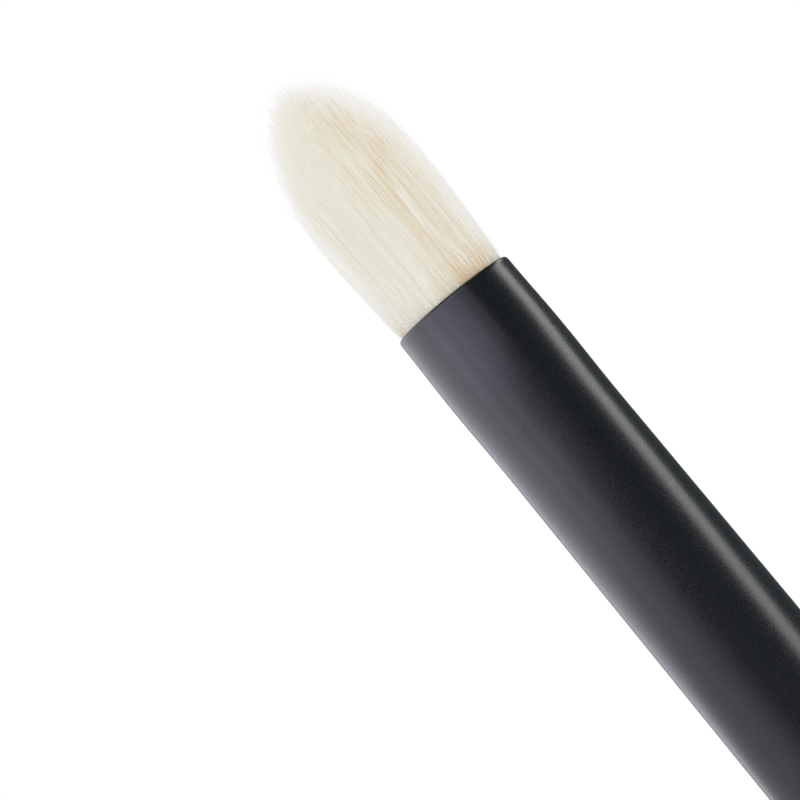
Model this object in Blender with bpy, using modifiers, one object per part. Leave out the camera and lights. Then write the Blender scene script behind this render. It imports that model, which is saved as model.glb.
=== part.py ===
"""Blending brush: a bullet tuft of hair in a black metal ferrule on a turned wooden handle.

Every piece is made round its own Z axis, with Z = 0 at the ferrule's mouth and +Z towards the hair. Depths are
counted from the mouth towards the butt, heights from the mouth towards the tip. The empty brush_axis then lifts
the whole brush upright, tip up, until the flat end of its handle lies on z = 0.
"""

import math

import bmesh
import bpy
from mathutils import Vector

# Driving dimensions, in metres.
HAIR_LENGTH = 0.0190  # from the mouth to the tip of the tuft
FERRULE_LENGTH = 0.0440
HANDLE_LENGTH = 0.1017  # from the seam to the butt

MOUTH_RADIUS = 0.00476
SWELL_RADIUS = 0.00486
SWELL_DEPTH = 0.0060
WAIST_RADIUS = 0.00480
WAIST_DEPTH = 0.0120
SEAM_RADIUS = 0.00498  # of the ferrule's back edge
FERRULE_WALL = 0.00045
LIP_OUTER_RADIUS = 0.0003
LIP_INNER_RADIUS = 0.0001
BACK_EDGE_RADIUS = 0.00015

SHOULDER_RADIUS = 0.00502  # a little proud of the ferrule, as lacquered wood is
BUTT_RADIUS = 0.00325  # where the cone would end at the butt
BUTT_ROUNDING = 0.0012
SHOULDER_CHAMFER = 0.00015
TENON_LENGTH = 0.0200
TENON_NOSE_CHAMFER = 0.0006
TENON_FRONT_LAND = 0.0030
TENON_BACK_LAND = 0.0045
RELIEF_CUT = 0.0009  # how far the middle of the tenon is turned down for the glue
TENON_CLEARANCE = 0.00015
SEAM_GAP = 0.0003

PIECE_CLEARANCE = 0.0003  # between two pieces that meet inside the ferrule
WALL_CLEARANCE = 0.0002  # between the ferrule's bore and what lies in it
GLUE_CLEARANCE = 0.0002  # between the set glue and both walls that it fills

ROOT_DEPTH = 0.0012  # of the set root's front face below the mouth
ROOT_COLLAR_LENGTH = 0.0014
ROOT_BOUND_LENGTH = 0.0057
ROOT_HEEL_LENGTH = 0.0010
BINDING_PINCH = 0.00085  # how far the thread draws the roots in
THREAD_DIAMETER = 0.0005
THREAD_PITCH = 0.0011
PLUG_LENGTH = 0.0052
PLUG_DISH = 0.0009  # the hollow that the epoxy sets with, at its back

TUFT_BELLY_RADIUS = 0.00500
TUFT_BELLY_HEIGHT = 0.0090
FLARE_RADIUS = 0.00472
FLARE_HEIGHT = 0.0017
LIP_PASS_HEIGHT = 0.0003  # the hair runs straight until it is this far past the lip
STRAND_ROOT_RADIUS = 0.00014
STRAND_RADIUS = 0.00019
STRAND_BURIED = 0.0004
STRAND_POINT_LENGTH = 0.0021
CUT_UNEVENNESS = 0.0003  # how unevenly the hair ends, either way
WELD = 0.000002  # points of one turned shape nearer than this are the same point
MILLIMETRE = 0.001  # for printed sizes

STRANDS = 360
STRAND_SIDES = 3
TURNED_STEPS = 48
ROOT_STEPS = 32
THREAD_LOOPS = 4
LOOP_POINTS = 24
ARC_STEPS = 4
PROFILE_STEPS = 6
UNEVEN_WAVES = 5  # round the tuft

DOME_ROUNDNESS_SHARE = 0.63  # 0.5 would make the tuft's dome an ellipse, 1 a parabola
FLARED_SHARE = 0.72  # strands further out than this share of the radius lean out over the lip
HEEL_SPREAD_SHARE = 0.97
GOLDEN_ANGLE = math.pi * (3.0 - math.sqrt(5.0))


def clear_scene():
    for item in list(bpy.data.objects):
        bpy.data.objects.remove(item, do_unlink=True)


def new_collection(name):
    group = bpy.data.collections.new(name)
    bpy.context.scene.collection.children.link(group)
    return group


def material(name, colour, roughness, metallic):
    finish = bpy.data.materials.new(name)
    finish.use_nodes = True
    surface = finish.node_tree.nodes["Principled BSDF"]
    surface.inputs["Base Color"].default_value = (*colour, 1.0)
    surface.inputs["Roughness"].default_value = roughness
    surface.inputs["Metallic"].default_value = metallic
    finish.diffuse_color = (*colour, 1.0)
    return finish


def eased(start, end, share):
    """Runs from start to end with a level beginning and end."""
    return start + (end - start) * (1.0 - math.cos(math.pi * share)) / 2.0


def ferrule_radius(depth):
    """The ferrule's outer radius at a depth behind the mouth."""
    if depth <= SWELL_DEPTH:
        return eased(MOUTH_RADIUS, SWELL_RADIUS, max(depth, 0.0) / SWELL_DEPTH)
    if depth <= WAIST_DEPTH:
        share = (depth - SWELL_DEPTH) / (WAIST_DEPTH - SWELL_DEPTH)
        return eased(SWELL_RADIUS, WAIST_RADIUS, share)
    share = (depth - WAIST_DEPTH) / (FERRULE_LENGTH - WAIST_DEPTH)
    return WAIST_RADIUS + (SEAM_RADIUS - WAIST_RADIUS) * share


def bore_radius(depth):
    return ferrule_radius(depth) - FERRULE_WALL


def narrowest_bore(first, last):
    """The tightest bore radius between two depths."""
    places = [first + (last - first) * i / PROFILE_STEPS for i in range(PROFILE_STEPS + 1)]
    return min(bore_radius(depth) for depth in places)


def arc(centre_radius, centre_height, radius, start_degrees, end_degrees):
    """Points (radius, height) round a fillet of a turned profile."""
    points = []
    for i in range(ARC_STEPS + 1):
        angle = math.radians(start_degrees + (end_degrees - start_degrees) * i / ARC_STEPS)
        points.append((centre_radius + radius * math.cos(angle), centre_height + radius * math.sin(angle)))
    return points


def turned(name, profile, parts, axis, finish, steps, closed=False):
    """Turns a profile of (radius, height) points round Z. It runs down the piece's outer side, top to bottom."""
    mesh = bpy.data.meshes.new(name)
    shape = bmesh.new()
    corners = [shape.verts.new((radius, 0.0, height)) for radius, height in profile]
    for first, second in zip(corners, corners[1:]):
        shape.edges.new((first, second))
    if closed:
        shape.edges.new((corners[-1], corners[0]))
    shape.to_mesh(mesh)
    shape.free()
    piece = bpy.data.objects.new(name, mesh)
    parts.objects.link(piece)
    piece.parent = axis
    spin = piece.modifiers.new("turn", "SCREW")
    spin.axis = "Z"
    spin.steps = steps
    spin.render_steps = steps
    spin.use_merge_vertices = True
    spin.merge_threshold = WELD
    spin.use_smooth_shade = True
    mesh.materials.append(finish)
    return piece


def make_ferrule(parts, axis, finish):
    """The drawn tube: an even wall, a rolled soft lip at the mouth and a slightly eased back edge."""
    outer = arc(MOUTH_RADIUS - LIP_OUTER_RADIUS, -LIP_OUTER_RADIUS, LIP_OUTER_RADIUS, 90.0, 0.0)
    depths = [SWELL_DEPTH * i / PROFILE_STEPS for i in range(1, PROFILE_STEPS + 1)]
    span = WAIST_DEPTH - SWELL_DEPTH
    depths += [SWELL_DEPTH + span * i / PROFILE_STEPS for i in range(1, PROFILE_STEPS + 1)]
    outer += [(ferrule_radius(depth), -depth) for depth in depths if depth > LIP_OUTER_RADIUS]
    edge = BACK_EDGE_RADIUS
    outer += arc(SEAM_RADIUS - edge, edge - FERRULE_LENGTH, edge, 0.0, -90.0)
    inner = [(bore_radius(FERRULE_LENGTH), -FERRULE_LENGTH)]
    inner += [(bore_radius(depth), -depth) for depth in reversed(depths)]
    mouth_bore = MOUTH_RADIUS - FERRULE_WALL
    lip = LIP_INNER_RADIUS
    inner += arc(mouth_bore + lip, -lip, lip, 180.0, 90.0)
    return turned("ferrule", outer + inner, parts, axis, finish, TURNED_STEPS, closed=True)


def handle_radius(depth):
    """The cone of the handle, at a depth behind the mouth."""
    share = (depth - FERRULE_LENGTH - SEAM_GAP) / (HANDLE_LENGTH - SEAM_GAP)
    return SHOULDER_RADIUS + (BUTT_RADIUS - SHOULDER_RADIUS) * share


def tenon_radius(depth):
    return bore_radius(depth) - TENON_CLEARANCE


def make_handle(parts, axis, finish):
    """The turned handle: tenon with its glue relief, shoulder, long cone and rounded butt."""
    nose = FERRULE_LENGTH - TENON_LENGTH
    relief_start = nose + TENON_FRONT_LAND
    relief_end = FERRULE_LENGTH - TENON_BACK_LAND
    shoulder = FERRULE_LENGTH + SEAM_GAP
    butt = FERRULE_LENGTH + HANDLE_LENGTH
    narrow = tenon_radius(nose) - TENON_NOSE_CHAMFER
    profile = [
        (0.0, -nose),
        (narrow, -nose),
        (tenon_radius(nose), -nose - TENON_NOSE_CHAMFER),
        (tenon_radius(nose), -relief_start),
        (tenon_radius(nose) - RELIEF_CUT, -relief_start - RELIEF_CUT),
        (tenon_radius(nose) - RELIEF_CUT, -relief_end + RELIEF_CUT),
        (tenon_radius(relief_end), -relief_end),
        (tenon_radius(relief_end), -shoulder),
        (SHOULDER_RADIUS - SHOULDER_CHAMFER, -shoulder),
        (handle_radius(shoulder + SHOULDER_CHAMFER), -shoulder - SHOULDER_CHAMFER),
    ]
    rounding_start = butt - BUTT_ROUNDING
    rounding = arc(handle_radius(rounding_start) - BUTT_ROUNDING, -rounding_start, BUTT_ROUNDING, 0.0, -90.0)
    profile += rounding + [(0.0, -butt)]
    return turned("handle", profile, parts, axis, finish, TURNED_STEPS)


def make_tenon_adhesive(parts, axis, finish):
    """The sleeve of set glue that fills the tenon's relief."""
    nose = FERRULE_LENGTH - TENON_LENGTH
    front = nose + TENON_FRONT_LAND + RELIEF_CUT + GLUE_CLEARANCE
    back = FERRULE_LENGTH - TENON_BACK_LAND - RELIEF_CUT - GLUE_CLEARANCE
    inner = tenon_radius(nose) - RELIEF_CUT + GLUE_CLEARANCE
    outer_front = bore_radius(front) - GLUE_CLEARANCE
    outer_back = bore_radius(back) - GLUE_CLEARANCE
    profile = [(outer_front, -front), (outer_back, -back), (inner, -back), (inner, -front)]
    return turned("tenon_adhesive", profile, parts, axis, finish, TURNED_STEPS, closed=True)


def root_radius():
    """The set roots fill the bore but for their clearance."""
    return narrowest_bore(ROOT_DEPTH, root_end()) - WALL_CLEARANCE


def root_end():
    return ROOT_DEPTH + ROOT_COLLAR_LENGTH + ROOT_BOUND_LENGTH + ROOT_HEEL_LENGTH


def bound_radius():
    return root_radius() - BINDING_PINCH


def make_root_binding(parts, axis, finish):
    """The thread, wound as one unbroken helix round the drawn-in roots, with a straight cut end each way."""
    coil_radius = bound_radius() + PIECE_CLEARANCE + THREAD_DIAMETER / 2.0
    middle = ROOT_DEPTH + ROOT_COLLAR_LENGTH + ROOT_BOUND_LENGTH / 2.0
    steps = THREAD_LOOPS * LOOP_POINTS
    points = []
    for i in range(steps + 1):
        angle = 2.0 * math.pi * i / LOOP_POINTS
        height = THREAD_PITCH * (i / LOOP_POINTS - THREAD_LOOPS / 2.0) - middle
        points.append(Vector((coil_radius * math.cos(angle), coil_radius * math.sin(angle), height)))
    first_run = (points[0] - points[1]).normalized() * THREAD_DIAMETER
    last_run = (points[-1] - points[-2]).normalized() * THREAD_DIAMETER
    points = [points[0] + first_run] + points + [points[-1] + last_run]
    print_least_gap("root_binding", points, THREAD_DIAMETER)

    curve = bpy.data.curves.new("root_binding", "CURVE")
    curve.dimensions = "3D"
    curve.bevel_depth = THREAD_DIAMETER / 2.0
    curve.bevel_resolution = 1
    curve.use_fill_caps = True
    run = curve.splines.new("POLY")
    run.points.add(len(points) - 1)
    for corner, place in zip(run.points, points):
        corner.co = (*place, 1.0)
    curve.materials.append(finish)
    piece = bpy.data.objects.new("root_binding", curve)
    parts.objects.link(piece)
    piece.parent = axis
    return piece


def print_least_gap(name, points, diameter):
    """Measures how near the winding comes to itself, on the points of its turns."""
    nearest = min(
        (points[i] - points[k]).length
        for i in range(len(points))
        for k in range(i + LOOP_POINTS // 2, len(points))
    )
    print(f"{name}: least gap to itself {(nearest - diameter) / MILLIMETRE:.2f} mm")


def make_glue_plug(parts, axis, finish):
    """The epoxy behind the roots, which set with a hollow back."""
    front = root_end() + PIECE_CLEARANCE
    back = front + PLUG_LENGTH
    radius = narrowest_bore(front, back) - WALL_CLEARANCE
    profile = [(0.0, -front), (radius, -front), (radius, -back)]
    for i in range(1, PROFILE_STEPS + 1):
        share = i / PROFILE_STEPS
        hollow = PLUG_DISH * math.sin(share * math.pi / 2.0)
        profile.append((radius * (1.0 - share), -back + hollow))
    return turned("glue_plug", profile, parts, axis, finish, TURNED_STEPS)


def tip_height(share):
    """Where a hair ends whose place is this share of the belly radius: the bullet's dome."""
    drop = share ** (1.0 / DOME_ROUNDNESS_SHARE)
    return TUFT_BELLY_HEIGHT + (HAIR_LENGTH - TUFT_BELLY_HEIGHT) * math.sqrt(1.0 - drop)


def strand_stations(share, unevenness):
    """(height, distance from the axis, thickness) of a strand's rings, from its root to its tip."""
    root = root_radius() - STRAND_ROOT_RADIUS - WELD
    lip = min(root, MOUTH_RADIUS - FERRULE_WALL - WALL_CLEARANCE - STRAND_ROOT_RADIUS)
    flare = FLARE_RADIUS - STRAND_RADIUS
    belly = TUFT_BELLY_RADIUS - STRAND_RADIUS
    tip = tip_height(share) + unevenness
    stations = [(-ROOT_DEPTH - STRAND_BURIED, share * lip, STRAND_ROOT_RADIUS)]
    if share > FLARED_SHARE:
        stations.append((LIP_PASS_HEIGHT, share * lip, STRAND_ROOT_RADIUS))
        stations.append((FLARE_HEIGHT, share * flare, STRAND_RADIUS))
    stations.append((tip - STRAND_POINT_LENGTH, share * belly, STRAND_RADIUS))
    stations.append((tip, share * belly, 0.0))
    return stations


def add_strand(shape, share, angle, turn, unevenness):
    outward = Vector((math.cos(angle), math.sin(angle), 0.0))
    rings = []
    for height, distance, thickness in strand_stations(share, unevenness):
        centre = outward * distance + Vector((0.0, 0.0, height))
        if not thickness:
            rings.append([shape.verts.new(centre)])
            continue
        corners = []
        for k in range(STRAND_SIDES):
            side = turn + 2.0 * math.pi * k / STRAND_SIDES
            corners.append(shape.verts.new(centre + thickness * Vector((math.cos(side), math.sin(side), 0.0))))
        rings.append(corners)
    shape.faces.new(list(reversed(rings[0])))
    for lower, upper in zip(rings, rings[1:]):
        for k in range(STRAND_SIDES):
            after = (k + 1) % STRAND_SIDES
            if len(upper) == 1:
                shape.faces.new((lower[k], lower[after], upper[0]))
            else:
                shape.faces.new((lower[k], lower[after], upper[after], upper[k]))


def make_strands(name, parts, axis, finish):
    """All strands, spread over the mouth like the seeds of a sunflower, so that none meets another."""
    shape = bmesh.new()
    for i in range(STRANDS):
        share = math.sqrt((i + 0.5) / STRANDS)
        angle = i * GOLDEN_ANGLE
        unevenness = CUT_UNEVENNESS * math.sin(angle * UNEVEN_WAVES + share)
        add_strand(shape, share, angle, angle * STRAND_SIDES, unevenness)
    mesh = bpy.data.meshes.new(name)
    shape.to_mesh(mesh)
    shape.free()
    mesh.materials.append(finish)
    strands = bpy.data.objects.new(name, mesh)
    parts.objects.link(strands)
    strands.parent = axis
    return strands


def make_hair_tuft(parts, tools, axis, finish):
    """The roots, drawn in where the thread binds them and spread again at the heel, with every strand on them."""
    front = ROOT_DEPTH
    collar = front + ROOT_COLLAR_LENGTH
    bound_end = collar + ROOT_BOUND_LENGTH
    radius = root_radius()
    profile = [
        (0.0, -front),
        (radius, -front),
        (radius, -collar + BINDING_PINCH),
        (bound_radius(), -collar),
        (bound_radius(), -bound_end),
        (radius * HEEL_SPREAD_SHARE, -root_end()),
        (0.0, -root_end()),
    ]
    root = turned("hair_root", profile, tools, axis, finish, ROOT_STEPS)
    root.hide_render = True
    root.display_type = "WIRE"
    tuft = make_strands("hair_tuft", parts, axis, finish)
    join = tuft.modifiers.new("set in the roots", "BOOLEAN")
    join.operation = "UNION"
    join.solver = "EXACT"
    join.object = root
    return tuft


def main():
    clear_scene()
    parts = new_collection("blending_brush")
    tools = new_collection("cutters")
    axis = bpy.data.objects.new("brush_axis", None)
    axis.location.z = FERRULE_LENGTH + HANDLE_LENGTH
    parts.objects.link(axis)
    black_tube = material("satin black metal", (0.022, 0.022, 0.024), 0.36, 0.35)
    black_wood = material("satin black lacquered wood", (0.022, 0.022, 0.024), 0.38, 0.0)
    cream_hair = material("cream hair", (0.82, 0.75, 0.62), 0.55, 0.0)
    thread = material("natural thread", (0.78, 0.74, 0.66), 0.8, 0.0)
    epoxy = material("amber epoxy", (0.62, 0.40, 0.14), 0.25, 0.0)
    wood_glue = material("yellow wood glue", (0.80, 0.68, 0.36), 0.45, 0.0)
    make_hair_tuft(parts, tools, axis, cream_hair)
    make_root_binding(parts, axis, thread)
    make_glue_plug(parts, axis, epoxy)
    make_ferrule(parts, axis, black_tube)
    make_handle(parts, axis, black_wood)
    make_tenon_adhesive(parts, axis, wood_glue)


main()
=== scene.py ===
"""Looks of a cosmetic blending brush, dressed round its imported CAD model.

The brush stands upright on the butt of its handle. Its own axis is the Z axis, and heights along the tuft are
measured from the mouth of the ferrule. All sizes are in metres.
"""

import math

import bmesh
import bpy
import numpy as np
from mathutils import Matrix, Vector


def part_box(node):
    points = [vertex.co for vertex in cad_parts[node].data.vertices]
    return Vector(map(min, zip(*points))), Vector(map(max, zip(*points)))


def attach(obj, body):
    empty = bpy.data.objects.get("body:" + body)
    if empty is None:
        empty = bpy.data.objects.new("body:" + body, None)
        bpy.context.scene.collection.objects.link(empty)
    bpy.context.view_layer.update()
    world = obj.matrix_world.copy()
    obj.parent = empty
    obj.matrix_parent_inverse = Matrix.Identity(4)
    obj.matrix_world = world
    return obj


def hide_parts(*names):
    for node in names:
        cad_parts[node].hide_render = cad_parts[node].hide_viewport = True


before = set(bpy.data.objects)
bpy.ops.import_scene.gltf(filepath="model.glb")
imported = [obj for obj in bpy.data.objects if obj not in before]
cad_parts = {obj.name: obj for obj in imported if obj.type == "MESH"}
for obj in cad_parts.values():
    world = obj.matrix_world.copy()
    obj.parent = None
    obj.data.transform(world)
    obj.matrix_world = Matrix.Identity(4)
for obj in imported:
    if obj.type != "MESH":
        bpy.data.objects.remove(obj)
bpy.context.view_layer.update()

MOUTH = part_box("ferrule")[1].z
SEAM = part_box("ferrule")[0].z
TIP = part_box("hair_tuft")[1].z

# The ferrule's outer radius by depth behind the mouth, and its wall.
MOUTH_RADIUS = 0.00476
SWELL_RADIUS = 0.00486
SWELL_DEPTH = 0.0060
WAIST_RADIUS = 0.00480
WAIST_DEPTH = 0.0120
SEAM_RADIUS = 0.00498
WALL = 0.00045
LIP_ROUNDING = 0.00016
LIP_TURN = 0.00030  # how far back from the mouth the tube starts to turn in
LIP_INNER_ROUNDING = 0.00012
BACK_ROUNDING = 0.00012

# The handle.
SHOULDER_RADIUS = 0.00502
BUTT_RADIUS = 0.00325
BUTT_ROUNDING = 0.0012
SHOULDER_ROUNDING = 0.00015
TENON_LENGTH = 0.0200
TENON_CLEARANCE = 0.00015
TENON_NARROWING = 0.00012  # because the tube is narrower at the tenon's nose than at its seam
TENON_NOSE_CHAMFER = 0.0006
TENON_FRONT_LAND = 0.0030
TENON_BACK_LAND = 0.0045
RELIEF_CUT = 0.0009  # how far the middle of the tenon is turned down for the glue
SEAM_GAP = 0.0003

# The set roots inside the ferrule.
ROOT_RADIUS = 0.00408
ROOT_DEPTH = 0.0012
ROOT_CHAMFER = 0.0002
ROOT_COLLAR_LENGTH = 0.0014
ROOT_BOUND_LENGTH = 0.0057
BINDING_PINCH = 0.00085
ROOT_FOOT_LENGTH = 0.001  # behind the thread the roots spread out again over this length
ROOT_FOOT_SHARE = 0.97  # to this share of their radius

# How finely the turned pieces follow their curves, and where their edges are sharp.
TURNED_STEPS = 160
ROOT_TURNED_STEPS = 64
MASS_TURNED_STEPS = 96
LIP_STEPS = 16
LIP_INNER_STEPS = 5
FERRULE_FRONT_STEPS = 36
FERRULE_BACK_STEPS = 10
CONE_STEPS = 40
ROUNDING_STEPS = 6
BUTT_STEPS = 12
MASS_STEPS = 24
START_SIZE = 0.001  # of the circle that is merged into a profile's first point
MERGE_DISTANCE = 0.000001
SHARP_ANGLE = math.radians(35.0)

# The tuft's outline: at each height above the mouth, how far out its outermost hair lies.
OUTER_HAIR = (
    (-0.0020, 0.00418),
    (0.0000, 0.00427),
    (0.00016, 0.00447),
    (0.00040, 0.00454),
    (0.0012, 0.00460),
    (0.0021, 0.00467),
    (0.0035, 0.00475),
    (0.0055, 0.00484),
    (0.0083, 0.00491),
    (0.0098, 0.00491),
    (0.0190, 0.00484),
)
BELLY_HEIGHT = 0.0090  # where the tuft is widest and its dome begins
DOME_ROUNDNESS = 0.63
TIP_BEND = 0.00022  # how far the tip of the tuft bends towards -X
TIP_BEND_HEIGHT = 0.0135  # and where the bend starts

# The dense body of the hair under the loose hairs, and the closed mass inside the body.
BODY_SHARE = 0.87  # how far out the body reaches
BODY_SHARE_HEIGHT = 0.0025  # where it has drawn in to that
BODY_DOME_SHARE = 0.87  # how high its dome is full; the hairs' ends thin out from there to the outline
BODY_END_BIAS = 1.4  # above 1, more of the body's hairs end near the full dome than near the outline
MASS_SHARE = 0.97  # how far out the mass reaches inside the body
MASS_DROP = 0.0003  # how far it stays below the full dome

# A single hair.
HAIR_RADIUS = 0.000034
LOOSE_RADIUS = 0.0000105
THICKNESS_RANGE = (0.75, 1.2)  # the thinnest and the thickest hairs, against that radius
HAIR_RINGS = (-0.0016, 0.0001, 0.0008, 0.0026)  # the heights of its first rings
HAIR_RING_SHARES = (0.36, 0.66, 0.87)  # the places of the others between the last of those and its tip
HAIR_TAPER = (1.0, 1.0, 1.0, 1.0, 1.0, 0.9, 0.65, 0.0)  # its thickness at each ring and at its point
LOOSE_TAPER = (1.0, 1.0, 1.0, 1.0, 1.0, 0.95, 0.85, 0.0)

# How the hairs of a bundle stand.
HAIRS = 4200
LOOSE_HAIRS = 4200
GOLDEN_ANGLE = math.pi * (3.0 - math.sqrt(5.0))
SCATTER_OUT = 0.006  # how far a hair is off its even place, as a share of the tuft's radius
SCATTER_ROUND = 0.012  # and how far round the axis
SCATTER_CORE = 0.05  # within this share of the radius the angle scatters no more than at it
HAIR_LEAN = 0.00005  # how far a hair leans off its course
LOCK_LEAN = 0.00003  # how far the hairs of a lock lean together
LEAN_HEIGHT = 0.010  # they lean so far at this height, and elsewhere with the square of the height
LEAN_LOCKS = (5.0, 5.7)  # about so many locks across the tuft lean along X, and along Y
LOOSE_RISE = 0.00110  # how far the loose ends rise over the flanks of the dome
LOOSE_SIDE = 0.6  # and how much more so on the side of +X
TIP_UNEVENNESS = 0.00030
LOCK_UNEVENNESS = 0.00010
UNEVEN_LOCKS = 9.0  # and about so many differ in height
TIP_OVERRUN = 0.0004  # no hair ends higher than this over the tip of the CAD tuft
STRAY_SHARE = 0.05  # this share of the hairs is stray
STRAY_RISE = (0.5, 2.2)  # such a hair is longer by so many times the unevenness
STRAY_LEAN = 2.0  # and leans so many times as far

# The tone of a hair, from 0 near white to 1 tan, and the warmth that its lock adds to it; along one side that
# warmth is painted shade.
BODY_TONE = 0.14
BODY_TONE_SPREAD = 0.035
TAN_SHARE = 0.03  # this share of the hairs is tan
TAN_RISE = (0.15, 0.5)
DARKEST_TONE = 0.8
LOOSE_TONES = (0.12, 0.15)
PAINTED_SIDE_LIGHT = 0.8  # painted light: how much paler the hair is painted at the two sides of the tuft, towards -X and +X, where light comes through it
LOOSE_SIDE_POWER = 6  # the higher, the narrower the painted light at the sides of the loose hair
DOME_HEIGHTS = (0.0110, 0.0150)  # between these heights all hairs at the two sides are painted paler, as painted light
SHADED_SIDE = math.radians(-56.0)  # round Z from +X: painted shade, the hair is painted warmest and darkest along this side
SHADED_SIDE_SPREAD = math.radians(24.0)
PAINTED_SIDE_SHADE = 1.4
BASE_WARMTH = 0.08  # all round
TONE_HEIGHTS = (0.0, 0.0045, 0.0120, 0.0150, 0.0175, 0.0190)  # at these heights above the mouth
TONE_SHARES = (0.40, 0.9, 1.0, 1.15, 0.4, 0.0)  # a hair has these shares of its tone, so its ends are palest; the low share at the mouth is painted light where the lip shades the hair
WARMTH_SHARES = (1.3, 1.0, 1.0, 0.9, 0.8, 0.6)  # and these shares of its warmth; the high share at the mouth is painted shade

# The world, the lamps' colours, the floor and the camera.
ROOM_COLOUR = (0.122, 0.14, 0.145)  # the dim room that reflections show
WHITE_SIDE = (-0.06, -1.0)  # between these values of a ray's X they turn white, towards the left
FILL = 1.06  # the light on matt surfaces
FILL_LEAN = (0.06, 0.10, 0.0)  # how much more of it comes from +X and from +Y
COOL = (1.01, 0.95, 1.08)
NEUTRAL = (1.02, 1.005, 0.93)
FLOOR_RADIUS = 0.6
FLOOR_DROP = 0.0002
FLOOR_SIDES = 96
FLOOR_FADE = (0.02, 0.14)  # between these distances from the brush it fades into the white
CAMERA_LENS = 163.1  # in millimetres, like its film
CAMERA_FILM = 36.0
CAMERA_AIM = (-0.007187, 0.0, -0.003054)  # from the mouth
CAMERA_DISTANCE = 0.24968
CAMERA_RISE = math.radians(4.1811)  # it looks up by this angle
CAMERA_ROLL = math.radians(-39.3131)  # and is rolled by this one, so that the brush points to the upper left

GRAIN_MIDDLE = (0.3, 0.7)  # most of the grain that the finishes share lies between these values


def deselect():
    bpy.ops.object.select_all(action="DESELECT")


def settle(piece, name, finish):
    """Names a finished piece, puts its place into its mesh and gives it its finish."""
    piece.name = name
    piece.data.name = name
    piece.data.transform(piece.matrix_world)
    piece.matrix_world = Matrix.Identity(4)
    piece.data.materials.clear()
    piece.data.materials.append(finish)
    return piece


def new_material(name):
    finish = bpy.data.materials.new(name)
    finish.use_nodes = True
    tree = finish.node_tree
    return finish, tree, tree.nodes["Principled BSDF"]


def fine_grain():
    """The grain that the finishes share: random, from 0 to 1 over the surface, of the given fineness, and
    drawn out along an axis where Stretch is under 1."""
    group = bpy.data.node_groups.new("fine grain", "ShaderNodeTree")
    group.interface.new_socket("Fineness", in_out="INPUT", socket_type="NodeSocketFloat")
    group.interface.new_socket("Stretch", in_out="INPUT", socket_type="NodeSocketVector")
    group.interface.new_socket("Grain", in_out="OUTPUT", socket_type="NodeSocketFloat")
    given = group.nodes.new("NodeGroupInput")
    place = group.nodes.new("ShaderNodeTexCoord")
    drawn = group.nodes.new("ShaderNodeMapping")
    group.links.new(place.outputs["Object"], drawn.inputs["Vector"])
    group.links.new(given.outputs["Stretch"], drawn.inputs["Scale"])
    noise = group.nodes.new("ShaderNodeTexNoise")
    noise.inputs["Detail"].default_value = 1.0
    group.links.new(drawn.outputs["Vector"], noise.inputs["Vector"])
    group.links.new(given.outputs["Fineness"], noise.inputs["Scale"])
    result = group.nodes.new("NodeGroupOutput")
    group.links.new(noise.outputs["Fac"], result.inputs["Grain"])
    return group


def grained(tree, group, fineness, stretch=(1.0, 1.0, 1.0)):
    """Places the grain in a material with its own values, and returns what it puts out."""
    node = tree.nodes.new("ShaderNodeGroup")
    node.node_tree = group
    node.inputs["Fineness"].default_value = fineness
    node.inputs["Stretch"].default_value = stretch
    return node.outputs["Grain"]


def bumped(tree, surface, grain, strength, distance):
    bump = tree.nodes.new("ShaderNodeBump")
    bump.inputs["Strength"].default_value = strength
    bump.inputs["Distance"].default_value = distance
    tree.links.new(grain, bump.inputs["Height"])
    tree.links.new(bump.outputs["Normal"], surface.inputs["Normal"])


def ranged(tree, grain, socket, lowest, highest):
    """Spreads the middle of the grain's range from lowest to highest, into a socket."""
    spread = tree.nodes.new("ShaderNodeMapRange")
    spread.inputs["From Min"].default_value = GRAIN_MIDDLE[0]
    spread.inputs["From Max"].default_value = GRAIN_MIDDLE[1]
    spread.inputs["To Min"].default_value = lowest
    spread.inputs["To Max"].default_value = highest
    tree.links.new(grain, spread.inputs["Value"])
    tree.links.new(spread.outputs["Result"], socket)


def coloured(tree, surface, grain, first, second):
    """Blends two colours by the grain, into the base colour."""
    blend = tree.nodes.new("ShaderNodeMix")
    blend.data_type = "RGBA"
    blend.inputs["A"].default_value = (*first, 1.0)
    blend.inputs["B"].default_value = (*second, 1.0)
    ranged(tree, grain, blend.inputs["Factor"], lowest=0.0, highest=1.0)
    tree.links.new(blend.outputs["Result"], surface.inputs["Base Color"])


def smooth_step(tree, value, start, end):
    """Goes softly from 0 to 1 while the value goes from start to end."""
    step = tree.nodes.new("ShaderNodeMapRange")
    step.interpolation_type = "SMOOTHSTEP"
    step.inputs["From Min"].default_value = start
    step.inputs["From Max"].default_value = end
    tree.links.new(value, step.inputs["Value"])
    return step.outputs["Result"]


def combined(tree, operation, values):
    """Combines what other nodes put out, by one operation of a Math node."""
    node = tree.nodes.new("ShaderNodeMath")
    node.operation = operation
    for value, socket in zip(values, node.inputs):
        tree.links.new(value, socket)
    return node.outputs[0]


def satin_black(group):
    """The ferrule's baked-on satin coat, with the fine grain of its spray."""
    finish, tree, surface = new_material("satin black coat")
    surface.inputs["Base Color"].default_value = (0.0018, 0.0026, 0.0042, 1.0)
    surface.inputs["IOR"].default_value = 1.6
    surface.inputs["Specular Tint"].default_value = (0.88, 0.915, 1.0, 1.0)
    grain = grained(tree, group, fineness=10000.0)
    ranged(tree, grain, surface.inputs["Roughness"], lowest=0.20, highest=0.32)
    bumped(tree, surface, grain, strength=0.12, distance=0.00003)
    return finish


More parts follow.
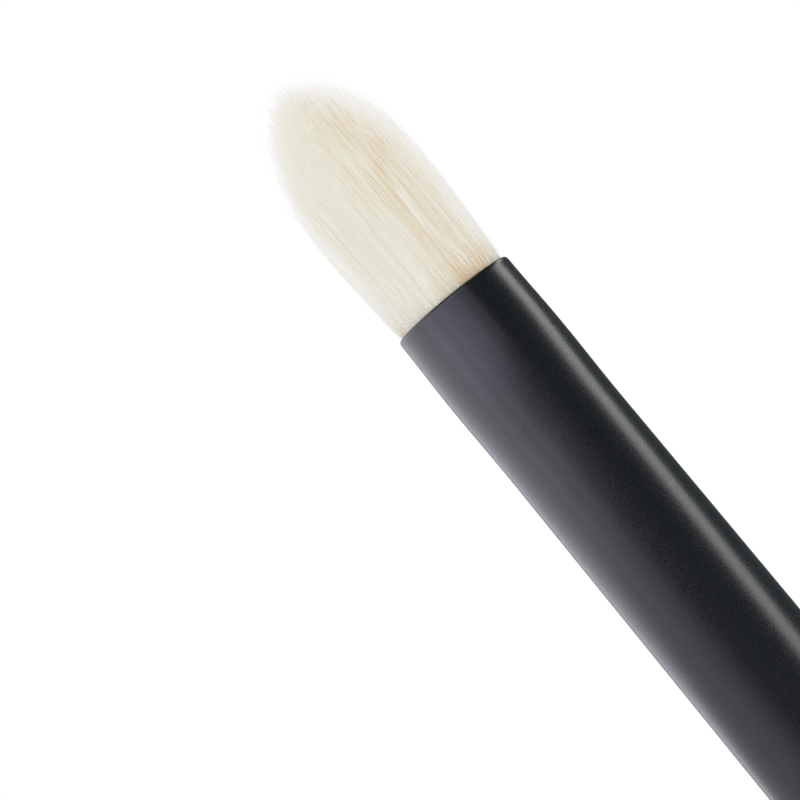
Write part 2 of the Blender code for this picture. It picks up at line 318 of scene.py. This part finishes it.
def lacquered_wood(group):
    """The handle's black lacquer: the wood's lengthwise grain shows faintly in its sheen."""
    finish, tree, surface = new_material("lacquered wood")
    surface.inputs["IOR"].default_value = 1.55
    surface.inputs["Specular Tint"].default_value = (0.87, 0.93, 1.0, 1.0)
    along = grained(tree, group, fineness=2600.0, stretch=(1.0, 1.0, 0.03))
    coloured(tree, surface, along, (0.0018, 0.0024, 0.0036), (0.0060, 0.0052, 0.0050))
    ranged(tree, along, surface.inputs["Roughness"], lowest=0.20, highest=0.27)
    bumped(tree, surface, along, strength=0.25, distance=0.00002)
    return finish


def twisted_thread(group):
    """Waxed cotton thread, with fibres that run round the binding."""
    finish, tree, surface = new_material("twisted thread")
    surface.inputs["Roughness"].default_value = 0.7
    fibres = grained(tree, group, fineness=9000.0, stretch=(0.35, 0.35, 1.6))
    coloured(tree, surface, fibres, (0.55, 0.48, 0.36), (0.80, 0.74, 0.62))
    bumped(tree, surface, fibres, strength=0.6, distance=0.00004)
    return finish


def amber_epoxy(group):
    """The epoxy behind the roots: cloudy amber, with a smooth set skin."""
    finish, tree, surface = new_material("amber epoxy")
    clouds = grained(tree, group, fineness=900.0)
    coloured(tree, surface, clouds, (0.36, 0.17, 0.035), (0.60, 0.36, 0.10))
    ranged(tree, clouds, surface.inputs["Roughness"], lowest=0.10, highest=0.24)
    bumped(tree, surface, clouds, strength=0.3, distance=0.00008)
    return finish


def set_glue(group):
    """The wood glue on the tenon: dull yellow, slightly uneven."""
    finish, tree, surface = new_material("set glue")
    skin = grained(tree, group, fineness=1500.0, stretch=(1.0, 1.0, 0.6))
    coloured(tree, surface, skin, (0.56, 0.43, 0.16), (0.76, 0.64, 0.34))
    ranged(tree, skin, surface.inputs["Roughness"], lowest=0.38, highest=0.55)
    bumped(tree, surface, skin, strength=0.4, distance=0.00008)
    return finish


def soaked_roots(group):
    """Hair roots set in epoxy: amber, streaked along the hairs."""
    finish, tree, surface = new_material("set hair roots")
    streaks = grained(tree, group, fineness=7000.0, stretch=(1.0, 1.0, 0.05))
    coloured(tree, surface, streaks, (0.50, 0.31, 0.12), (0.78, 0.66, 0.45))
    ranged(tree, streaks, surface.inputs["Roughness"], lowest=0.28, highest=0.45)
    bumped(tree, surface, streaks, strength=0.6, distance=0.00004)
    return finish


def pale_floor(group):
    """A matt pale table, faintly mottled, which fades into the white behind it away from the brush."""
    finish, tree, surface = new_material("pale floor")
    surface.inputs["Roughness"].default_value = 0.8
    mottle = grained(tree, group, fineness=900.0)
    coloured(tree, surface, mottle, (0.90, 0.90, 0.90), (0.92, 0.92, 0.92))
    place = tree.nodes.new("ShaderNodeTexCoord")
    away = tree.nodes.new("ShaderNodeVectorMath")
    away.operation = "LENGTH"
    tree.links.new(place.outputs["Object"], away.inputs[0])
    fade = smooth_step(tree, away.outputs["Value"], *FLOOR_FADE)
    ray = tree.nodes.new("ShaderNodeLightPath")
    white = tree.nodes.new("ShaderNodeEmission")
    mix = tree.nodes.new("ShaderNodeMixShader")
    tree.links.new(combined(tree, "MULTIPLY", (fade, ray.outputs["Is Camera Ray"])), mix.inputs["Fac"])
    tree.links.new(surface.outputs["BSDF"], mix.inputs[1])
    tree.links.new(white.outputs["Emission"], mix.inputs[2])
    tree.links.new(mix.outputs["Shader"], tree.nodes["Material Output"].inputs["Surface"])
    return finish


def attribute(tree, name):
    node = tree.nodes.new("ShaderNodeAttribute")
    node.attribute_name = name
    return node.outputs["Fac"]


def cream_hair(group):
    """Bleached hair: each strand has its own tone, from near white to warm tan. A mottle drawn out along the
    hair makes it warmer in places, faintly all round, and strongly along one side of the tuft, where it is
    painted shade."""
    finish, tree, surface = new_material("cream hair")
    surface.inputs["Roughness"].default_value = 0.8
    surface.inputs["IOR"].default_value = 1.3
    mottle = grained(tree, group, fineness=2300.0, stretch=(1.0, 1.0, 0.09))
    lock = smooth_step(tree, mottle, start=0.33, end=0.68)
    # the warmth attribute holds the lock's own warmth, and along one side painted shade
    tone = combined(tree, "MULTIPLY_ADD", (lock, attribute(tree, "warmth"), attribute(tree, "tone")))
    colours = (
        (0.0, (0.90, 0.89, 0.865)),
        (0.16, (0.792, 0.755, 0.635)),
        (0.40, (0.73, 0.655, 0.49)),
        (1.0, (0.70, 0.54, 0.34)),
    )
    ramp = tree.nodes.new("ShaderNodeValToRGB")
    stops = ramp.color_ramp.elements
    for position, _ in colours[1:-1]:
        stops.new(position)
    for stop, (position, colour) in zip(stops, colours):
        stop.position = position
        stop.color = (*colour, 1.0)
    tree.links.new(tone, ramp.inputs["Fac"])
    tree.links.new(ramp.outputs["Color"], surface.inputs["Base Color"])
    return finish


def eased(start, end, share):
    return start + (end - start) * (1.0 - math.cos(math.pi * share)) / 2.0


def ferrule_radius(depth):
    if depth <= SWELL_DEPTH:
        return eased(MOUTH_RADIUS, SWELL_RADIUS, max(depth, 0.0) / SWELL_DEPTH)
    if depth <= WAIST_DEPTH:
        return eased(SWELL_RADIUS, WAIST_RADIUS, (depth - SWELL_DEPTH) / (WAIST_DEPTH - SWELL_DEPTH))
    share = (depth - WAIST_DEPTH) / (MOUTH - SEAM - WAIST_DEPTH)
    return WAIST_RADIUS + (SEAM_RADIUS - WAIST_RADIUS) * share


def arc(centre_radius, centre_height, radius, start, end, steps):
    """Points of (radius, height) along an arc, with its angles in degrees."""
    points = []
    for i in range(steps + 1):
        angle = math.radians(start + (end - start) * i / steps)
        points.append((centre_radius + radius * math.cos(angle), centre_height + radius * math.sin(angle)))
    return points


def turned(name, profile, finish, steps, closed):
    """Draws a profile of (radius, height) points by extruding one point along it, and spins it round Z."""
    deselect()
    bpy.ops.mesh.primitive_circle_add(vertices=3, radius=START_SIZE, location=(0.0, 0.0, 0.0))
    piece = bpy.context.object
    bpy.ops.object.mode_set(mode="EDIT")
    bpy.ops.mesh.select_all(action="SELECT")
    bpy.ops.mesh.merge(type="CENTER")
    first = Vector((profile[0][0], 0.0, profile[0][1]))
    bpy.ops.transform.translate(value=first)
    for before, after in zip(profile, profile[1:]):
        step = (after[0] - before[0], 0.0, after[1] - before[1])
        bpy.ops.mesh.extrude_region_move(TRANSFORM_OT_translate={"value": step})
    if closed:
        shape = bmesh.from_edit_mesh(piece.data)
        ends = [corner for corner in shape.verts if len(corner.link_edges) == 1]
        shape.edges.new(ends)
        bmesh.update_edit_mesh(piece.data)
    bpy.ops.mesh.select_all(action="SELECT")
    bpy.ops.mesh.spin(steps=steps, angle=2.0 * math.pi, center=(0.0, 0.0, 0.0), axis=(0.0, 0.0, 1.0))
    bpy.ops.mesh.select_all(action="SELECT")
    bpy.ops.mesh.remove_doubles(threshold=MERGE_DISTANCE)
    bpy.ops.mesh.normals_make_consistent(inside=False)
    bpy.ops.object.mode_set(mode="OBJECT")
    bpy.ops.object.shade_smooth_by_angle(angle=SHARP_ANGLE)
    return settle(piece, name, finish)


def make_ferrule(finish):
    """The tube: from its turned-in lip back along the outside to the seam, and forward along the bore."""
    outer = []
    for i in range(LIP_STEPS + 1):
        angle = math.pi / 2.0 * (1.0 - i / LIP_STEPS)
        depth = LIP_TURN * (1.0 - math.sin(angle))
        outer.append((ferrule_radius(depth) - LIP_ROUNDING * (1.0 - math.cos(angle)), MOUTH - depth))
    front = [WAIST_DEPTH * i / FERRULE_FRONT_STEPS for i in range(1, FERRULE_FRONT_STEPS + 1)]
    outer += [(ferrule_radius(depth), MOUTH - depth) for depth in front if depth > LIP_TURN]
    back_length = MOUTH - SEAM - BACK_ROUNDING - WAIST_DEPTH
    back = [WAIST_DEPTH + back_length * i / FERRULE_BACK_STEPS for i in range(1, FERRULE_BACK_STEPS)]
    outer += [(ferrule_radius(depth), MOUTH - depth) for depth in back]
    outer += arc(SEAM_RADIUS - BACK_ROUNDING, SEAM + BACK_ROUNDING, BACK_ROUNDING, 0.0, -90.0, ROUNDING_STEPS)
    inner = [(SEAM_RADIUS - WALL, SEAM)]
    inner += [(ferrule_radius(depth) - WALL, MOUTH - depth) for depth in reversed(front + back)]
    lip = LIP_INNER_ROUNDING
    inner += arc(MOUTH_RADIUS - WALL + lip, MOUTH - lip, lip, 180.0, 90.0, LIP_INNER_STEPS)
    return turned("ferrule_tube", outer + inner, finish, TURNED_STEPS, closed=True)


def handle_radius(height):
    shoulder = SEAM - SEAM_GAP
    return SHOULDER_RADIUS + (BUTT_RADIUS - SHOULDER_RADIUS) * (shoulder - height) / shoulder


def make_handle(finish):
    """The turned handle: tenon with its glue relief, eased shoulder, long cone and rounded butt."""
    nose = SEAM + TENON_LENGTH
    tenon = SEAM_RADIUS - WALL - TENON_CLEARANCE - TENON_NARROWING
    shoulder = SEAM - SEAM_GAP
    relief_front = nose - TENON_FRONT_LAND
    relief_back = SEAM + TENON_BACK_LAND
    profile = [
        (0.0, nose),
        (tenon - TENON_NOSE_CHAMFER, nose),
        (tenon, nose - TENON_NOSE_CHAMFER),
        (tenon, relief_front),
        (tenon - RELIEF_CUT, relief_front - RELIEF_CUT),
        (tenon - RELIEF_CUT, relief_back + RELIEF_CUT),
        (tenon, relief_back),
        (tenon, shoulder),
    ]
    rounding = SHOULDER_ROUNDING
    cone_top = shoulder - rounding
    profile += arc(SHOULDER_RADIUS - rounding, cone_top, rounding, 90.0, 0.0, ROUNDING_STEPS)
    for i in range(1, CONE_STEPS + 1):
        height = cone_top - (cone_top - BUTT_ROUNDING) * i / CONE_STEPS
        profile.append((handle_radius(height), height))
    butt = handle_radius(BUTT_ROUNDING) - BUTT_ROUNDING
    profile += arc(butt, BUTT_ROUNDING, BUTT_ROUNDING, 0.0, -90.0, BUTT_STEPS)[1:]
    profile.append((0.0, 0.0))
    return turned("turned_handle", profile, finish, TURNED_STEPS, closed=False)


def make_roots(finish):
    """The set roots of the hair inside the ferrule, drawn in where the thread binds them."""
    front = MOUTH - ROOT_DEPTH
    collar = front - ROOT_COLLAR_LENGTH
    bound_end = collar - ROOT_BOUND_LENGTH
    bound = ROOT_RADIUS - BINDING_PINCH
    profile = [
        (0.0, front),
        (ROOT_RADIUS - ROOT_CHAMFER, front),
        (ROOT_RADIUS, front - ROOT_CHAMFER),
        (ROOT_RADIUS, collar + BINDING_PINCH),
        (bound, collar),
        (bound, bound_end),
        (ROOT_RADIUS * ROOT_FOOT_SHARE, bound_end - ROOT_FOOT_LENGTH),
        (0.0, bound_end - ROOT_FOOT_LENGTH),
    ]
    return turned("set_roots", profile, finish, ROOT_TURNED_STEPS, closed=False)


def outer_hair(height):
    heights, radii = zip(*OUTER_HAIR)
    return np.interp(height, heights, radii)


def tip_height(share):
    """Where a hair ends whose place is this share of the belly radius: the bullet's dome."""
    drop = np.power(share, 1.0 / DOME_ROUNDNESS)
    return BELLY_HEIGHT + (TIP - MOUTH - BELLY_HEIGHT) * np.sqrt(1.0 - drop)


def body_reach(height):
    """The share of the tuft's radius that the dense body of the hair fills at this height."""
    return np.interp(height, (0.0, BODY_SHARE_HEIGHT), (1.0, BODY_SHARE))


def body_tip(share, length):
    """Where a hair of the body ends: length 0 is as high as the body is full, and 1 is the tuft's outline."""
    reached = BODY_DOME_SHARE + (1.0 - BODY_DOME_SHARE) * length
    return BELLY_HEIGHT + (tip_height(share) - BELLY_HEIGHT) * reached


def strand_tones(rng, angle, loose):
    """One tone a hair, 0 near white to 1 tan: most are cream, and a few are tan. The loose hairs at the two
    sides of the tuft are painted almost white, as painted light for the light that comes through them."""
    count = len(angle)
    if loose:
        # painted light: the loose hairs at the two sides are painted paler
        pale = PAINTED_SIDE_LIGHT * np.abs(np.cos(angle)) ** LOOSE_SIDE_POWER
        return rng.uniform(*LOOSE_TONES, count) * (1.0 - pale)
    tone = BODY_TONE + np.abs(rng.normal(0.0, BODY_TONE_SPREAD, count))
    tan = rng.uniform(0.0, 1.0, count) < TAN_SHARE
    tone[tan] += rng.uniform(*TAN_RISE, int(tan.sum()))
    return np.clip(tone, 0.0, DARKEST_TONE)


def warmth_and_painted_shade(share, angle):
    """How far the warm mottle shows: faintly all round, and fully along one side of the tuft as painted
    shade.
    """
    away = np.angle(np.exp(1j * (angle - SHADED_SIDE)))
    return BASE_WARMTH + PAINTED_SIDE_SHADE * np.exp(-(away / SHADED_SIDE_SPREAD) ** 2) * share


def let_light_through(hair):
    """Bleached hair passes light on from strand to strand, so the tuft is bright right through: nothing in it
    keeps the light off the rest."""
    hair.visible_shadow = False
    hair.visible_diffuse = False


def mass_radius(height):
    return MASS_SHARE * float(body_reach(height) * outer_hair(height))


def make_hair_mass(finish):
    """The closed mass of the hair just under the outermost hairs of its body, from its dome to the roots."""
    profile = []
    for i in range(MASS_STEPS + 1):
        share = math.sin(math.pi / 2.0 * i / MASS_STEPS)
        height = float(body_tip(share, 0.0))
        profile.append((share * mass_radius(height), MOUTH + height - MASS_DROP))
    for i in range(1, MASS_STEPS + 1):
        height = BELLY_HEIGHT - MASS_DROP + (HAIR_RINGS[0] - BELLY_HEIGHT) * i / MASS_STEPS
        profile.append((mass_radius(height), MOUTH + height))
    profile.append((0.0, profile[-1][1]))
    mass = turned("hair_mass", profile, finish, MASS_TURNED_STEPS, closed=False)
    places = np.array([corner.co for corner in mass.data.vertices])
    warmth = mass.data.attributes.new("warmth", "FLOAT", "POINT")
    # painted shade: the mass is painted warmer and darker along the same side as the hairs
    shown = warmth_and_painted_shade(1.0, np.arctan2(places[:, 1], places[:, 0]))
    shown *= np.interp(places[:, 2] - MOUTH, TONE_HEIGHTS, WARMTH_SHARES)
    warmth.data.foreach_set("value", shown.astype(np.float32))
    let_light_through(mass)
    return mass


def one_hair():
    """A straight hair of three sides, modelled once: rings at heights 0, 1, 2, ... and a point at its end."""
    rings = len(HAIR_RINGS) + len(HAIR_RING_SHARES)
    deselect()
    bpy.ops.mesh.primitive_circle_add(vertices=3, radius=1.0, fill_type="NGON", location=(0.0, 0.0, 0.0))
    hair = bpy.context.object
    bpy.ops.object.mode_set(mode="EDIT")
    bpy.ops.mesh.select_all(action="SELECT")
    for i in range(rings):
        bpy.ops.mesh.extrude_region_move(TRANSFORM_OT_translate={"value": (0.0, 0.0, 1.0)})
    bpy.ops.mesh.merge(type="CENTER")
    bpy.ops.mesh.select_all(action="SELECT")
    bpy.ops.mesh.normals_make_consistent(inside=False)
    bpy.ops.object.mode_set(mode="OBJECT")
    return hair


def locks(across, along, count):
    """A soft uneven pattern over the tuft's section, from -1 to 1, with about this many locks across it: the
    mean of two waves at right angles, each bent by another wave, all of unlike lengths."""
    first = np.sin(count * 3.1 * across + 1.7 * np.sin(count * 1.3 * along + 0.4))
    second = np.sin(count * 2.3 * along + 1.1 * np.sin(count * 1.9 * across + 2.0))
    return 0.5 * (first + second)


def hair_places(rng, inner, outer, count):
    """Spreads hairs evenly between two shares of the tuft's radius, as seeds lie in a sunflower, each a
    little off its place. Returns each hair's share of the radius and its angle."""
    index = np.arange(count) + 0.5
    share = np.sqrt(inner ** 2 + (outer ** 2 - inner ** 2) * index / count)
    share = np.clip(share + rng.normal(0.0, SCATTER_OUT, count), 0.0, 1.0)
    angle = index * GOLDEN_ANGLE + rng.normal(0.0, SCATTER_ROUND, count) / np.maximum(share, SCATTER_CORE)
    return share, angle


def hair_tips(rng, share, angle, loose):
    """The height at which each hair ends, uneven by hair and by lock, and which hairs are stray."""
    count = len(share)
    uneven = rng.normal(0.0, TIP_UNEVENNESS, count)
    stray = rng.uniform(0.0, 1.0, count) < STRAY_SHARE
    uneven[stray] += rng.uniform(*STRAY_RISE, int(stray.sum())) * TIP_UNEVENNESS
    uneven += LOCK_UNEVENNESS * locks(share * np.cos(angle), share * np.sin(angle), UNEVEN_LOCKS)
    if loose:
        reached = tip_height(share) + LOOSE_RISE * share * (1.0 + LOOSE_SIDE * np.cos(angle))
    else:
        reached = body_tip(share, rng.uniform(0.0, 1.0, count) ** BODY_END_BIAS)
    return np.minimum(reached + uneven, TIP - MOUTH + TIP_OVERRUN), stray


def hair_leans(rng, share, angle, stray):
    """How far each hair leans along X and along Y, by itself and with its lock."""
    across, along = share * np.cos(angle), share * np.sin(angle)
    lean = rng.normal(0.0, HAIR_LEAN, (len(share), 2))
    lean[stray] *= STRAY_LEAN
    lean[:, 0] += LOCK_LEAN * locks(across, along, LEAN_LOCKS[0])
    lean[:, 1] += LOCK_LEAN * locks(along, across, LEAN_LOCKS[1])
    return lean


def hair_middles(height, share, angle, lean, loose):
    """Where the middles of the hairs are at this height, along X and along Y."""
    away = share * outer_hair(height) * (1.0 if loose else body_reach(height))
    grown = np.clip(height / LEAN_HEIGHT, 0.0, None) ** 2
    bent = TIP_BEND * np.clip((height - TIP_BEND_HEIGHT) / (TIP - MOUTH - TIP_BEND_HEIGHT), 0.0, 1.0)
    return away * np.cos(angle) + lean[:, 0] * grown - bent, away * np.sin(angle) + lean[:, 1] * grown


def make_hair(pattern, name, inner, outer, seed, loose, finish):
    """One bundle of the tuft: copies of the hair, bent along the tuft from the roots to the dome."""
    rng = np.random.default_rng(seed)
    count = LOOSE_HAIRS if loose else HAIRS
    share, angle = hair_places(rng, inner, outer, count)
    tip, stray = hair_tips(rng, share, angle, loose)
    lean = hair_leans(rng, share, angle, stray)
    radius = (LOOSE_RADIUS if loose else HAIR_RADIUS) * rng.uniform(*THICKNESS_RANGE, count)
    turn = rng.uniform(0.0, 2.0 * math.pi, count)
    tones = strand_tones(rng, angle, loose)
    # painted shade along one side, carried as warmth; the loose hairs have none
    warmths = np.zeros(count) if loose else warmth_and_painted_shade(share, angle)

    corners = np.array([corner.co for corner in pattern.data.vertices])
    faces = [tuple(face.vertices) for face in pattern.data.polygons]
    level = np.rint(corners[:, 2]).astype(int)
    last = HAIR_RINGS[-1]
    heights = [np.full(count, height) for height in HAIR_RINGS]
    heights += [last + (tip - last) * part for part in HAIR_RING_SHARES + (1.0,)]
    taper = LOOSE_TAPER if loose else HAIR_TAPER
    points = np.zeros((count, len(corners), 3))
    shown = {"tone": np.zeros((count, len(corners))), "warmth": np.zeros((count, len(corners)))}
    for ring, height in enumerate(heights):
        mine = level == ring
        middle_x, middle_y = hair_middles(height, share, angle, lean, loose)
        across = corners[mine][:, :2]
        spun_x = across[None, :, 0] * np.cos(turn)[:, None] - across[None, :, 1] * np.sin(turn)[:, None]
        spun_y = across[None, :, 0] * np.sin(turn)[:, None] + across[None, :, 1] * np.cos(turn)[:, None]
        wide = (radius * taper[ring])[:, None]
        points[:, mine, 0] = middle_x[:, None] + spun_x * wide
        points[:, mine, 1] = middle_y[:, None] + spun_y * wide
        points[:, mine, 2] = MOUTH + height[:, None]
        # painted light: on the dome the hairs at the two sides are painted paler, where light comes through
        # them
        pale = PAINTED_SIDE_LIGHT * np.cos(angle) ** 2 * np.interp(height, DOME_HEIGHTS, (0.0, 1.0))
        # by height: the tone is painted paler just above the mouth as painted light, and the warmth stronger
        # there as painted shade
        shown["tone"][:, mine] = (np.interp(height, TONE_HEIGHTS, TONE_SHARES) * (1.0 - pale))[:, None]
        shown["warmth"][:, mine] = np.interp(height, TONE_HEIGHTS, WARMTH_SHARES)[:, None]

    mesh = mesh_of_copies(name, points, faces)
    for kind, amounts in (("tone", tones), ("warmth", warmths)):
        kept = mesh.attributes.new(kind, "FLOAT", "POINT")
        kept.data.foreach_set("value", (amounts[:, None] * shown[kind]).ravel().astype(np.float32))
    mesh.materials.append(finish)
    bundle = bpy.data.objects.new(name, mesh)
    bpy.context.scene.collection.objects.link(bundle)
    let_light_through(bundle)
    return bundle


def mesh_of_copies(name, points, faces):
    """A mesh of many copies of one shape: points holds each copy's corners, faces are those of the shape. Its
    faces stay flat, because rounded shading on a hair of three sides loses light."""
    copies, count = points.shape[:2]
    sizes = np.array([len(face) for face in faces])
    corner_order = np.concatenate([np.array(face) for face in faces])
    loops = (corner_order[None, :] + (np.arange(copies) * count)[:, None]).ravel()
    starts = np.concatenate([[0], np.cumsum(sizes)[:-1]])
    starts = (starts[None, :] + (np.arange(copies) * len(corner_order))[:, None]).ravel()
    mesh = bpy.data.meshes.new(name)
    mesh.vertices.add(copies * count)
    mesh.vertices.foreach_set("co", points.astype(np.float32).ravel())
    mesh.loops.add(len(loops))
    mesh.loops.foreach_set("vertex_index", loops.astype(np.int32))
    mesh.polygons.add(copies * len(faces))
    mesh.polygons.foreach_set("loop_start", starts.astype(np.int32))
    mesh.update(calc_edges=True)
    mesh.validate()
    mesh.shade_flat()
    return mesh


def make_world():
    """The world, by kind of ray. The camera sees white, also through glass. Matt surfaces get an even light,
    which leans a little to one side. Reflections show white on the left and a dim room elsewhere."""
    world = bpy.data.worlds.new("studio")
    bpy.context.scene.world = world
    world.cycles.sampling_method = "NONE"  # its light differs by kind of ray, so the rays alone find it
    world.use_nodes = True
    tree = world.node_tree
    nodes, links = tree.nodes, tree.links
    ray = nodes.new("ShaderNodeLightPath")
    place = nodes.new("ShaderNodeTexCoord")
    direction = place.outputs["Generated"]
    split = nodes.new("ShaderNodeSeparateXYZ")
    links.new(direction, split.inputs[0])
    left = smooth_step(tree, split.outputs["X"], *WHITE_SIDE)
    reflected = combined(tree, "MULTIPLY", (ray.outputs["Is Glossy Ray"], left))
    seen = combined(tree, "MAXIMUM", (ray.outputs["Is Camera Ray"], ray.outputs["Is Transmission Ray"]))
    lean = nodes.new("ShaderNodeVectorMath")
    lean.operation = "DOT_PRODUCT"
    lean.inputs[1].default_value = FILL_LEAN
    links.new(direction, lean.inputs[0])
    fill = nodes.new("ShaderNodeMath")
    fill.operation = "ADD"
    fill.inputs[1].default_value = FILL
    links.new(lean.outputs["Value"], fill.inputs[0])
    room = nodes.new("ShaderNodeMix")
    room.data_type = "RGBA"
    room.inputs["A"].default_value = (*ROOM_COLOUR, 1.0)
    links.new(fill.outputs[0], room.inputs["B"])
    links.new(ray.outputs["Is Diffuse Ray"], room.inputs["Factor"])
    mix = nodes.new("ShaderNodeMix")
    mix.data_type = "RGBA"
    links.new(room.outputs["Result"], mix.inputs["A"])
    mix.inputs["B"].default_value = (1.0, 1.0, 1.0, 1.0)
    links.new(combined(tree, "MAXIMUM", (seen, reflected)), mix.inputs["Factor"])
    links.new(mix.outputs["Result"], nodes["Background"].inputs["Color"])


def soft_light(name, centre, facing, along, size, radiance, colour):
    """A rectangular soft light of even radiance, for the sheen alone: the world gives all the other light.
    centre is measured from the mouth of the brush, facing is where it shines, and along is the direction of
    its width."""
    lamp = bpy.data.lights.new(name, "AREA")
    lamp.shape = "RECTANGLE"
    lamp.size, lamp.size_y = size
    lamp.energy = radiance * math.pi * size[0] * size[1]
    lamp.color = colour
    light = bpy.data.objects.new(name, lamp)
    bpy.context.scene.collection.objects.link(light)
    back = -Vector(facing).normalized()
    wide = Vector(along) - back * back.dot(Vector(along))
    wide.normalize()
    turn = Matrix((wide, back.cross(wide), back)).transposed().to_4x4()
    light.matrix_world = Matrix.Translation(Vector(centre) + Vector((0.0, 0.0, MOUTH))) @ turn
    light.visible_camera = False
    light.visible_diffuse = False


def make_lights():
    """The lamps of the sheen: two in front and one behind at the left for its broad part, a strip for the
    narrow part along the right, and one overhead."""
    soft_light(
        "front",
        centre=(-0.0281, -0.125, 0.0642),
        facing=(0, 1, 0),
        along=(0.989, 0.0, 0.149),
        size=(0.180, 0.134),
        radiance=1.02,
        colour=COOL,
    )
    soft_light(
        "front wide",
        centre=(-0.160, -0.126, 0.0458),
        facing=(0, 1, 0),
        along=(0.997, 0.0, 0.071),
        size=(0.350, 0.117),
        radiance=0.61,
        colour=COOL,
    )
    soft_light(
        "left",
        centre=(-0.150, 0.165, 0.060),
        facing=(1, 0, 0),
        along=(0, 0.984, -0.18),
        size=(0.60, 0.226),
        radiance=1.03,
        colour=COOL,
    )
    soft_light(
        "right strip",
        centre=(0.110, 0.0188, -0.0033),
        facing=(-1, 0, 0),
        along=(0, 0.665, -0.747),
        size=(0.030, 0.27),
        radiance=3.25,
        colour=NEUTRAL,
    )
    soft_light(
        "top",
        centre=(0.0, 0.0, 0.25),
        facing=(0, 0, -1),
        along=(1, 0, 0),
        size=(0.40, 0.40),
        radiance=0.5,
        colour=NEUTRAL,
    )


def make_camera():
    """The photograph's view, from close in front and a little below the mouth."""
    camera = bpy.data.cameras.new("camera")
    camera.sensor_width = CAMERA_FILM
    camera.lens = CAMERA_LENS
    camera.clip_start = 0.01
    camera.clip_end = 10.0
    holder = bpy.data.objects.new("camera", camera)
    bpy.context.scene.collection.objects.link(holder)
    aim = Matrix.Translation(Vector(CAMERA_AIM) + Vector((0.0, 0.0, MOUTH)))
    raised = Matrix.Rotation(math.radians(90.0) + CAMERA_RISE, 4, "X")
    rolled = Matrix.Rotation(CAMERA_ROLL, 4, "Z")
    holder.matrix_world = aim @ raised @ rolled @ Matrix.Translation((0.0, 0.0, CAMERA_DISTANCE))
    bpy.context.scene.camera = holder


def make_floor(finish):
    deselect()
    bpy.ops.mesh.primitive_circle_add(
        vertices=FLOOR_SIDES, radius=FLOOR_RADIUS, fill_type="NGON", location=(0.0, 0.0, -FLOOR_DROP)
    )
    floor = bpy.context.object
    settle(floor, "floor", finish)


def main():
    bpy.context.scene.view_settings.view_transform = "Standard"
    group = fine_grain()
    hair = cream_hair(group)
    tube = make_ferrule(satin_black(group))
    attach(tube, "root")
    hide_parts("ferrule")
    handle = make_handle(lacquered_wood(group))
    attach(handle, "root")
    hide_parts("handle")
    roots = make_roots(soaked_roots(group))
    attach(roots, "root")
    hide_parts("hair_tuft")
    mass = make_hair_mass(hair)
    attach(mass, "root")
    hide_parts("hair_tuft")
    pattern = one_hair()
    bundles = (
        ("hair_heart", 0.0, 0.60, False),
        ("hair_middle", 0.60, 0.85, False),
        ("hair_mantle", 0.85, 1.0, False),
        ("hair_loose", 0.0, 1.0, True),
    )
    for seed, (name, inner, outer, loose) in enumerate(bundles):
        bundle = make_hair(pattern, name, inner, outer, seed, loose, hair)
        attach(bundle, "root")
        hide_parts("hair_tuft")
    bpy.data.objects.remove(pattern)
    kept = {"root_binding": twisted_thread, "glue_plug": amber_epoxy, "tenon_adhesive": set_glue}
    for node, finish in kept.items():
        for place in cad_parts[node].material_slots:
            place.material = finish(group)
    make_world()
    make_lights()
    make_camera()
    make_floor(pale_floor(group))


main()
